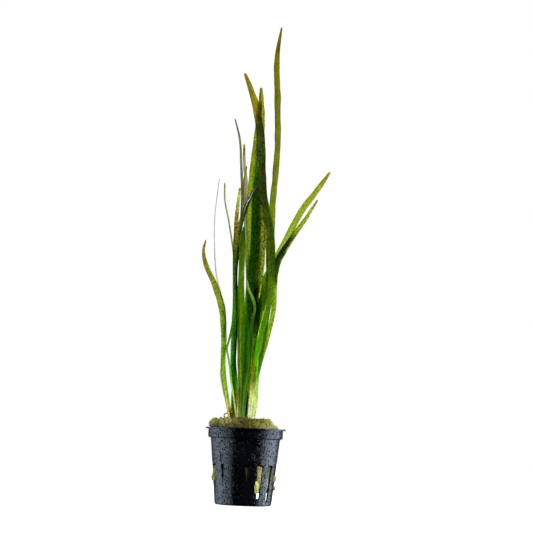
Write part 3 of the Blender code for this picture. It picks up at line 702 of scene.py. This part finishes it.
leaves["curlyLeaf"] = {
    "slot": "leaf_grey_green", "flecks": 0.2, "streaks": 0.4,
    "line": [
        (-2.6, -4.2, 52.9, 2.8), (-2.25, -4.8, 64.6, 3), (-1.2, -5.4, 77.6, 3.1), (-0.1, -6.4, 90.7, 2.9),
        (0.7, -7.8, 103.8, 2.8, 10), (0.8, -9.4, 114, 2, 20), (1.7, -10.6, 121, 2, 25), (2.5, -11.6, 127.5, 2.1, 30),
        (0.5, -12.8, 134.5, 1.9, 30), (-1.7, -13.6, 138.5, 1.5, 25), (-3, -14.6, 145, 0.9, 15)],
    "colours": [
        (53, 176, 206, 100), (66, 120, 180, 50), (76, 100, 170, 40), (88, 76, 146, 26), (102, 104, 156, 40),
        (114, 140, 156, 90), (122, 120, 160, 56), (130, 142, 180, 80), (144, 196, 202, 100)],
    # The pale stripe up the foot is a painted highlight, a sheen.
    "patches": [((-0.25, -0.05), (53, 84), (160, 210, 110))],
}
leaves["lightGreenLeaf"] = {
    "slot": "leaf_pale_green", "flecks": 0.35, "fleckSize": (0.75, 0.62), "streaks": 0.4, "margin": 0.1,
    "line": [
        (-3.2, -3.2, 52.9, 3), (-3.5, -3.5, 64.6, 3.2), (-4.5, -3.9, 77.6, 3.6), (-5.6, -4.4, 90.7, 3.4),
        (-6.1, -5, 103.8, 3.6), (-6.5, -5.6, 118, 4.2, 3), (-6.5, -6.2, 130, 5, 8), (-7.05, -7, 143, 4.2, 14),
        (-7.1, -7.6, 156, 4.2, 18), (-7.2, -8.6, 168, 4.2, 20), (-7, -9.1, 175, 2.9, 15), (-6.7, -9.5, 181, 0.9, 10)],
    "colours": [
        (53, 140, 172, 56), (80, 82, 114, 20), (104, 66, 98, 14), (130, 76, 108, 14), (150, 76, 110, 12),
        (165, 60, 94, 14), (178, 58, 88, 16)],
    "patches": [
        ((0.6, 1.5), (128, 168), (112, 140, 30)), ((-1.5, -0.7), (160, 178), (120, 150, 60)),
        ((-0.1, 0.3), (76, 138), (106, 134, 26))],
}
leaves["tanLeaf"] = {
    "slot": "leaf_grey_green", "flecks": 0.2, "streaks": 0.5, "margin": 0.3,
    "line": [
        (-3.3, 1.5, 52.9, 1.4), (-3, 2, 96, 1.4), (-3.2, 3.2, 143, 1, 10), (-4.7, 4.2, 162, 1, 20),
        (-5.6, 5.2, 178, 2, 28), (-6.2, 7.6, 210, 2.7, 35), (-8.5, 9.6, 230, 1.9, 25), (-8.8, 10.2, 239.5, 1.1, 10)],
    "colours": [
        (53, 150, 150, 110), (120, 120, 130, 60), (158, 124, 108, 60), (168, 150, 150, 90), (180, 180, 184, 144),
        (215, 172, 166, 128), (230, 158, 146, 100), (236, 60, 46, 10), (239, 170, 130, 20)],
}
leaves["rimmedLeaf"] = {
    "slot": "leaf_brown", "flecks": 0.4, "fleckSize": (0.75, 0.62), "streaks": 0.7, "margin": 0.6,
    "line": [
        (-2, 2.5, 52.9, 1.6), (-2, 3.4, 96, 1.8), (-2.4, 6, 145, 1.8, 10), (-5.4, 9.5, 188, 1.7, 15),
        (-8.1, 12, 212, 1.6, 15), (-6.5, 13.2, 225, 0.8, 10)],
    "colours": [(53, 120, 110, 60), (120, 100, 110, 44), (185, 150, 140, 84), (210, 140, 110, 40), (224, 116, 84, 20)],
}
leaves["darkLeaf"] = {
    "slot": "leaf_dark_green", "flecks": 0.6, "fleckSize": (0.54, 0.44), "streaks": 0.5,
    "line": [
        (-8.5, -2.6, 52.9, 4.2), (-8.4, -2.8, 64.6, 4.3), (-8.4, -3.1, 77.6, 4.2), (-10, -3.4, 90.7, 3.8, 3),
        (-10.2, -3.7, 104, 4, 5), (-10.1, -4, 117, 4.1, 8), (-10.2, -4.4, 131, 3.9, 12), (-11, -5.2, 149, 2.9, 18),
        (-10.9, -5.5, 157, 3.1, 22), (-10.3, -6, 167, 4.1, 26), (-9.4, -6.8, 180, 3.9, 32), (-6.2, -8.2, 193, 3.5, 38),
        (-2.2, -9.6, 202.5, 2.5, 35), (1.4, -10.9, 209.6, 0.9, 15)],
    "colours": [
        (53, 150, 136, 30), (66, 140, 134, 26), (78, 76, 138, 22), (95, 70, 152, 16), (110, 80, 166, 18),
        (125, 108, 194, 22), (142, 128, 186, 28), (156, 108, 154, 24), (170, 130, 154, 32), (184, 106, 112, 28),
        (194, 62, 50, 20), (203, 44, 30, 20), (209, 120, 100, 104)],
    "patches": [
        # The near-black patches down the right side are painted shade of an overlap.
        ((0.35, 1.5), (86, 168), (14, 38, 10)), ((0.08, 1.5), (132, 170), (20, 42, 10)),
        # The two pale lilac patches by the tip are a painted highlight.
        ((-1.5, -0.8), (196, 207), (190, 180, 190)), ((-0.3, 0.0), (192, 208), (250, 232, 238)),
        ((0.3, 1.5), (174, 192), (50, 74, 26)), ((-1.5, -0.4), (166, 188), (170, 164, 34))],
}
leaves["brownLeaf"] = {
    "slot": "leaf_brown", "flecks": 1.0, "fleckSize": (0.58, 0.48), "streaks": 0.4, "margin": 0.3,
    "line": [
        (-8.2, -0.8, 52.9, 2.4), (-9.6, -0.7, 90, 2.8), (-10.6, -0.3, 130, 2.8, 10), (-11.9, 0.4, 166, 3.2, 25),
        (-11.8, 1, 188, 3.1, 32), (-10.4, 1.4, 208.5, 1.3, 15)],
    "colours": [
        (53, 150, 136, 40), (110, 84, 104, 30), (150, 108, 94, 40), (180, 124, 98, 34), (192, 166, 158, 56),
        (202, 216, 216, 110), (208, 170, 150, 30)],
}
leaves["slenderLeaf"] = {
    "slot": "leaf_grey_green", "flecks": 0.3,
    "line": [
        (-7.4, 0.2, 52.9, 1.8), (-9.6, 0.8, 94, 1.7), (-10.4, 1.9, 130, 1.6, 10), (-10.4, 3.2, 164, 1.8, 28),
        (-8.6, 4.8, 196, 2.1, 35), (-10.2, 6.8, 224, 1.9, 35), (-12.1, 8.2, 243, 1.4, 25),
        (-15.8, 9.6, 256.5, 0.9, 15)],
    "colours": [
        (53, 120, 130, 60), (120, 80, 110, 40), (176, 60, 90, 60), (205, 96, 108, 64), (230, 112, 122, 70),
        (248, 110, 104, 64), (256, 104, 96, 70)],
}
leaves["oliveThreadLeaf"] = {
    "slot": "leaf_olive", "flecks": 0.2,
    "line": [
        (-8.6, 1.3, 52.9, 1.3), (-10, 2.3, 96, 1.3), (-11.2, 3.8, 138, 1.3), (-13.2, 4.6, 166, 1.2), (-15, 5, 176, 1.1),
        (-17.4, 5.4, 188, 1.1), (-20.1, 5.8, 200, 1.1), (-20.7, 6.2, 212, 0.9)],
    "colours": [
        (53, 120, 120, 60), (150, 120, 140, 80), (185, 140, 160, 100), (205, 132, 132, 60), (211, 120, 104, 40)],
}
leaves["greyThreadLeaf"] = {
    "slot": "leaf_grey_green", "flecks": 0.0, "margin": 0.0,
    "line": [
        (-9, 2.4, 52.9, 1.2), (-15.7, 3, 73, 1), (-17.9, 3.4, 84, 1), (-15.4, 4, 106, 1), (-18, 4.8, 130, 0.9),
        (-23.5, 5.6, 149, 0.9), (-25.7, 6.4, 168, 0.75), (-26.4, 7.2, 187, 0.6), (-24.4, 8.2, 215, 0.5)],
    "colours": [
        (53, 150, 160, 110), (90, 140, 160, 110), (112, 150, 146, 150), (130, 160, 156, 156), (170, 200, 200, 190),
        (214, 150, 150, 150)],
}
leaves["bentLeaf"] = {
    "slot": "leaf_green", "flecks": 0.1, "margin": 0.1,
    "line": [
        (-6.2, -3.9, 52.9, 1.1), (-8.4, -4.6, 66, 1.1), (-11, -4.9, 80, 1.2), (-13.2, -4.3, 94, 1.3),
        (-14.6, -3.5, 101.5, 1.3), (-13.8, -2.7, 104.8, 1.4), (-12.3, -1.9, 112, 1.6), (-11, -1.8, 126, 1)],
    "colours": [
        (53, 170, 200, 110), (66, 176, 236, 130), (80, 150, 220, 90), (98, 96, 160, 36), (108, 70, 116, 28),
        (125, 60, 96, 24)],
}
leaves["leftLeaf"] = {
    "slot": "leaf_olive", "fleckSize": (0.58, 0.48),
    "line": [
        (-9.9, -3.9, 52.9, 2.6), (-13.1, -4.2, 68, 2.9), (-16.3, -4.6, 86, 3.3), (-17.1, -5.4, 108, 3.5, 20),
        (-19, -6.4, 127, 4.7, 25), (-24.3, -7.8, 142, 4.5, 32), (-30.6, -9.4, 155, 3.4, 30), (-32.4, -10.4, 164, 2, 20),
        (-31, -11.2, 171, 0.9, 10)],
    "colours": [
        (53, 234, 230, 146), (66, 208, 208, 92), (80, 166, 186, 46), (105, 144, 172, 46), (130, 128, 142, 38),
        (150, 130, 128, 36), (170, 124, 114, 42)],
    "patches": [
        ((0.15, 1.5), (66, 108), (106, 176, 36)), ((-0.3, 0.5), (96, 130), (104, 134, 30)),
        ((0.75, 1.5), (112, 142), (40, 66, 16)), ((-0.15, 0.8), (106, 118), (64, 96, 18)),
        ((-1.5, -0.6), (132, 160), (124, 120, 46)), ((-0.1, 1.5), (50, 63), (120, 100, 24))],
}
leaves["deadStub"] = {
    "slot": "leaf_brown", "flecks": 0.2, "streaks": 0.6,
    "line": [(-0.5, -3.3, 52.9, 1.7), (-0.4, -3.4, 62, 1.6), (-0.2, -3.5, 70, 1.1), (-0.3, -3.55, 76, 0.7)],
    "colours": [(53, 30, 16, 10), (69, 40, 24, 12), (76, 70, 60, 20)],
}
leaves["paleStub"] = {
    "slot": "leaf_pale_green", "flecks": 0.0, "streaks": 0.4,
    "line": [(-5.5, -1.5, 52.9, 1.4), (-5.6, -1.6, 60, 1.5), (-5.7, -1.7, 68, 1.4), (-5.7, -1.8, 76, 0.9)],
    "colours": [(53, 196, 186, 120), (60, 216, 206, 150), (67, 206, 206, 140)],
}
leaves["curledScrap"] = {
    "slot": "leaf_olive", "flecks": 0.1, "streaks": 0.4,
    "line": [
        (-14, -7, 55.6, 1.4, 90), (-14.6, -7, 56.7, 1.5, 75), (-14.1, -7, 58.1, 1.4, 60), (-12.9, -7, 58.6, 1.2, 60),
        (-12.1, -7, 58.1, 1, 75)],
    "colours": [(55, 190, 188, 90), (59, 190, 188, 100)],
}


def smoothRun(stations, along):
    # Values at shares 0 to 1 of the way: a cubic through the stations, whose slope at each is the difference of its
    # neighbours over their distance.
    knots = np.concatenate([[0.0], np.cumsum(np.linalg.norm(np.diff(stations[:, :3], axis=0), axis=1))])
    slopes = np.gradient(stations, knots, axis=0)
    place = along * knots[-1]
    index = np.clip(np.searchsorted(knots, place, side="right") - 1, 0, len(knots) - 2)
    span = (knots[index + 1] - knots[index])[:, None]
    t = (place - knots[index])[:, None] / span
    return ((2 * t**3 - 3 * t**2 + 1) * stations[index] + (t**3 - 2 * t**2 + t) * span * slopes[index]
            + (3 * t**2 - 2 * t**3) * stations[index + 1] + (t**3 - t**2) * span * slopes[index + 1])


def slowNoise(along, wave, seed):
    # Smooth noise along a line, from five sines about as long as the wave.
    draw = np.random.default_rng(seed)
    turns = 2 * np.pi / (wave * draw.uniform(0.6, 1.8, 5))
    return np.sin(np.outer(along, turns) + draw.uniform(0, 6.28, 5)).sum(axis=1) / 2.4


def leafSurface(leaf, seed):
    # A closed strap: across it s goes from -1 to 1 over the top and back underneath, and along it the middle follows
    # the leaf's line. The blade is a shallow trough, thin at its margins, which ripple a little, and ends in a point. A
    # foot that starts in the wool is carried on down into it.
    p = leafShape
    stations = np.array([(*station, 0)[:5] for station in leaf["line"]], float)
    if stations[0, 2] < p["woolTop"]:
        drop = (stations[1, :3] - stations[0, :3]) / (stations[1, 2] - stations[0, 2])
        stations[0, :3] -= drop * p["sunk"]
    length = np.linalg.norm(np.diff(stations[:, :3], axis=0), axis=1).sum()
    rows = int(length * p["rowsPerMm"]) + 12
    t = np.sin(np.linspace(0, np.pi / 2, rows)) * 0.15 + np.linspace(0, 1, rows) * 0.85
    values = smoothRun(stations, t)
    nudge = 0.5 / length
    ahead, behind = smoothRun(stations, np.minimum(t + nudge, 1)), smoothRun(stations, np.maximum(t - nudge, 0))
    tangent = unit((ahead - behind)[:, :3])
    side = unit(np.cross(np.array([0.0, 1.0, 0.0]), tangent))
    facing = np.cross(tangent, side)
    turn = np.radians(values[:, 4:5])
    side, facing = side * np.cos(turn) + facing * np.sin(turn), facing * np.cos(turn) - side * np.sin(turn)
    distance = t * length
    left = np.clip(length * (1 - t) / p["tipRound"], 0, 1)
    rounding = np.sqrt(left * (2 - left))
    width = values[:, 3] * (1 + p["waver"] * slowNoise(distance, p["waverWave"], seed)) * rounding
    s = np.sin(np.linspace(-1, 1, p["columns"]) * np.pi / 2)
    s = np.concatenate([s, s[-2:0:-1]])[None, :]
    top = np.where(np.arange(s.shape[1]) < p["columns"], -1.0, 1.0)[None, :]
    across = width[:, None] / 2 * s
    thick = np.minimum(p["thickness"], 0.35 * width + 0.05)[:, None] / 2
    skin = thick * np.sqrt(np.maximum(1 - s**2, 0)) + p["edge"] / 2 * (np.abs(s) < 0.999) * rounding[:, None]
    camber = p["fold"] * width[:, None] * (0.5 - np.sqrt(s**2 + 0.01))
    ripple = np.where(s < 0, *(slowNoise(distance, p["flutterWave"], seed + n)[:, None] for n in (1, 2)))
    ripple = p["flutter"] * np.minimum(width, 6)[:, None] * ripple * s**2
    points = (values[:, None, :3] + side[:, None, :] * across[:, :, None]
              + facing[:, None, :] * (camber + ripple + top * skin)[:, :, None])
    place = np.stack([across, np.tile(distance[:, None], (1, s.shape[1])), np.tile(s, (rows, 1))], axis=-1)
    return points, place


def leafTissue(name, leaf, seed):
    # Leaf tissue: lit from behind it glows in its own colour, from the front it is a duller, deeper green, and its pale
    # foot is thicker and whiter, and lifted brighter than its tone by painted light. Its patterns follow the blade, by
    # mm across and along it and by share of its width.
    p = tissue
    material = startTree(bpy.data.materials.new(name))
    across, along, share = split(addNode("Attribute", attribute_name="bladePlace").outputs["Vector"])
    height = split(addNode("TexCoord").outputs["Object"])["Z"]
    low, high = leaf["colours"][0][0], leaf["colours"][-1][0]
    reach = addNode("MapRange", {"Value": height, "From Min": low * mm, "From Max": high * mm}).outputs["Result"]
    tone = ramp(reach, [((z - low) / (high - low), screenColour(*colour)) for z, *colour in leaf["colours"]])

    def stretched(acrossScale, alongScale, shift):
        x = scaled(across, acrossScale, seed * 1.7 + shift)
        y = scaled(along, alongScale, seed * 0.9 + shift)
        return addNode("CombineXYZ", {"X": x, "Y": y}).outputs["Vector"]

    def noise(acrossScale, alongScale, shift, detail):
        return noiseAt(stretched(acrossScale, alongScale, shift), 1.0, detail, 0.6, noise_dimensions="2D")

    shifted = maths("ADD", share, fade(noise(0.5, 0.25, 51, 2.0), 0.3, 0.7, -p["wander"], p["wander"]))
    edge = p["patchEdge"]
    # The patches, among them painted shade and painted highlights, are laid over the tone.
    for (left, right), (bottom, top), colour in leaf["patches"]:
        soft = (2.0 + 0.08 * (top - bottom)) * mm
        inside = window(shifted, left - edge, left + edge, right - edge, right + edge)
        level = window(height, bottom * mm - soft, bottom * mm + soft, top * mm - soft, top * mm + soft)
        tone = blendColour(times(inside, level), tone, screenColour(*colour))
    streak = noise(1.5, 0.03, 0, 3.0)
    patch = noise(0.3, 0.12, 9, 3.0)
    vein = maths("SINE", times(across, 2 * math.pi / p["veinPitch"]))
    pale = fade(addNode("RGBToBW", {"Color": tone}).outputs[0], 0.3, 0.7)
    red, green, _ = addNode("SeparateColor", {"Color": tone}).outputs
    olive = fade(maths("DIVIDE", red, green), 0.25, 0.6, 0.55, 1.0)
    speckled = fade(height, (leaf["fleckTop"] - 10) * mm, (leaf["fleckTop"] + 10) * mm, 1.0, 0.2)
    fleck = dots(stretched(*leaf["fleckSize"], 21), 1.0, *p["fleckDots"], voronoi_dimensions="2D")
    fleck = times(fleck, scaled(pale, -0.6, 1.0), olive, speckled)
    dash = times(speckled, fade(noise(0.8, 1.0, 33, 2.0), 0.5, 0.66))
    shade = times(
        fade(streak, 0.32, 0.68, 1 - 0.8 * leaf["streaks"], 1 + 0.45 * leaf["streaks"]),
        fade(patch, 0.3, 0.7, 0.84, 1.16),
        fade(vein, -1.0, 1.0, 0.88, 1.08),
        scaled(fleck, -0.85 * leaf["flecks"], 1.0),
        scaled(dash, -0.3 - 0.3 * leaf["flecks"], 1.1),
        fade(maths("ABSOLUTE", share), 0.7, 1.0, 1.0, 1 - 0.6 * leaf["margin"]),
        # Painted light: pale tissue lifted brighter than its own tone.
        scaled(pale, 0.2, 1.0),
    )
    spotted = blendColour(times(fleck, 0.5 * leaf["flecks"]), tone, blendColour(pale, *p["fleckTones"]))
    colour = tinted(spotted, grey(shade))
    clear = addNode("Gamma", {"Color": tinted(colour, p["glowLift"]), "Gamma": 0.5}).outputs["Color"]
    glow = blendColour(times(fleck, 0.75 * leaf["flecks"]), clear, p["fleckGlow"])
    body = tinted(colour, blendColour(pale, *p["frontTints"]))
    normal = bumped(patch, 0.4, 0.0006, bumped(vein, 0.3, 0.0001))
    front = addNode("BsdfPrincipled", {"Base Color": body, "Roughness": p["roughness"], "Normal": normal,
                                       "Specular IOR Level": p["gloss"]}).outputs["BSDF"]
    through = addNode("BsdfTranslucent", {"Color": glow, "Normal": normal}).outputs["BSDF"]
    mixed = addNode("MixShader", {"Fac": scaled(pale, -0.55, 0.7), 1: front, 2: through})
    addNode("OutputMaterial", {"Surface": mixed.outputs["Shader"]})
    return material


def makeLeaf(name, leaf, seed):
    # The strap with its two ends closed. The CAD node has the leaf's name in words joined by _.
    points, place = leafSurface(leaf, seed)
    faces = tubeFaces(*points.shape[:2])
    piece = makePiece(name, points.reshape(-1, 3) * mm, faces, leafTissue(name, leaf, seed))
    setAttribute(piece, "bladePlace", "FLOAT_VECTOR", place)
    dress(piece, "".join("_" + letter.lower() if letter.isupper() else letter for letter in name))


for number, (leafName, leafLook) in enumerate(leaves.items()):
    makeLeaf(leafName, {**leafUsual, **leafLook}, number * 10 + 3)
print("leaves done:", len(leaves))


# Floor, light and camera

# Bearings in degrees from the front, to the right: the dark ahead and each soft box with its two edges and how soft
# they are, and how the left box grows and fades from one bearing to another. Each lamp has its bearing, height, spread
# and strength.
studio = {
    "floorSize": 3.0, "floorDrop": 0.0004, "behind": 0.26, "behindLow": 0.12, "front": 0.005,
    "darkAhead": (-112, 116, 12), "leftBox": (-142, -51, 9), "rightBox": (70, 128, 9),
    "leftGrows": (-142, -96, 0.45, 2.1), "leftFades": (-98, -50, 1.0, 0.6),
    "boxHeight": (-0.62, -0.5, 0.05, 0.25), "leftStrength": 1.36, "rightStrength": 4.25,
    "boxTint": (0.68, 0.82, 1.0, 1),
    "lamps": {"lampBehind": (180.0, 6.0, 4.0, 4.8), "lampAhead": (22.0, 36.0, 30.0, 3.0)},
}


def makeFloor():
    # A plain white sheet just under the pot, which casts nothing back at the plant.
    material = startTree(bpy.data.materials.new("paleFloor"))
    glow = addNode("Emission", {"Color": (1, 1, 1, 1), "Strength": 1.0}).outputs[0]
    matt = addNode("BsdfDiffuse", {"Color": (0.9, 0.9, 0.9, 1)}).outputs[0]
    addNode("OutputMaterial", {"Surface": addNode("AddShader", {0: glow, 1: matt}).outputs[0]})
    half = studio["floorSize"] / 2
    corners = [(x * half, y * half, -studio["floorDrop"]) for x, y in ((-1, -1), (1, -1), (1, 1), (-1, 1))]
    floor = makePiece("paleFloor", corners, [[0, 1, 2, 3]], material, smooth=False)
    floor.visible_glossy = floor.visible_diffuse = floor.visible_transmission = floor.visible_shadow = False


def makeLight():
    # A white studio: bright behind, a tall soft box to each side, dark ahead. The camera sees it plain white.
    s = studio
    world = startTree(bpy.data.worlds.new("whiteStudio"))
    bpy.context.scene.world = world
    x, y, z = split(addNode("TexCoord").outputs["Generated"])
    bearing = times(maths("ARCTAN2", x, times(y, -1.0)), 180 / math.pi)

    def between(low, high, soft):
        return window(bearing, low - soft, low + soft, high - soft, high + soft)

    leftBox = times(between(*s["leftBox"]), fade(bearing, *s["leftGrows"]), fade(bearing, *s["leftFades"]))
    boxes = scaled(between(*s["rightBox"]), s["rightStrength"], times(leftBox, s["leftStrength"]))
    boxes = times(boxes, window(z, *s["boxHeight"]))
    behind = fade(z, -0.05, 0.12, s["behindLow"], s["behind"])
    around = scaled(behind, maths("SUBTRACT", 1.0, between(*s["darkAhead"])), s["front"])
    light = blendColour(1.0, tinted(s["boxTint"], grey(boxes)), grey(around), "ADD")
    shown = blendColour(addNode("LightPath").outputs["Is Camera Ray"], light, (1, 1, 1, 1))
    sky = addNode("Background", {"Color": shown, "Strength": 1.0})
    addNode("OutputWorld", {"Surface": sky.outputs["Background"]})


def makeLamps():
    # Wide lamps far away: one behind the plant, whose light comes through the leaves, and one ahead.
    for name, (bearing, height, spread, strength) in studio["lamps"].items():
        lamp = bpy.data.lights.new(name, "SUN")
        lamp.energy = strength
        lamp.angle = math.radians(spread)
        holder = bpy.data.objects.new(name, lamp)
        holder.rotation_euler = (math.radians(90 - height), 0, math.radians(bearing))
        holder.visible_camera = False
        holder.visible_glossy = False
        bpy.context.scene.collection.objects.link(holder)


photoView = {
    "place": (0.0, -1.0, 0.046), "yaw": 0.528, "pitch": 6.276, "roll": 2.2,
    "focalPixels": 1525.87, "imagePixels": 533, "sensor": 36.0,
}


def makeCamera():
    # The camera looks along +Y turned by its yaw and pitch, and rolls so that the plant leans as in the photograph.
    v = photoView
    yaw, pitch, roll = (math.radians(v[name]) for name in ("yaw", "pitch", "roll"))
    forward = np.array([math.sin(yaw) * math.cos(pitch), math.cos(yaw) * math.cos(pitch), math.sin(pitch)])
    level = np.cross(forward, (0, 0, 1))
    level /= np.linalg.norm(level)
    upright = np.cross(level, forward)
    right = level * math.cos(roll) + upright * math.sin(roll)
    up = upright * math.cos(roll) - level * math.sin(roll)
    data = bpy.data.cameras.new("photoCamera")
    data.sensor_width = v["sensor"]
    data.lens = v["focalPixels"] * v["sensor"] / v["imagePixels"]
    data.clip_start = 0.01
    camera = bpy.data.objects.new("photoCamera", data)
    bpy.context.scene.collection.objects.link(camera)
    turned = np.eye(4)
    turned[:3, 0], turned[:3, 1], turned[:3, 2], turned[:3, 3] = right, up, -forward, v["place"]
    camera.matrix_world = Matrix(turned.tolist())
    bpy.context.scene.camera = camera


makeFloor()
makeLight()
makeLamps()
makeCamera()
bpy.context.scene.view_settings.view_transform = "Standard"
print("studio done")
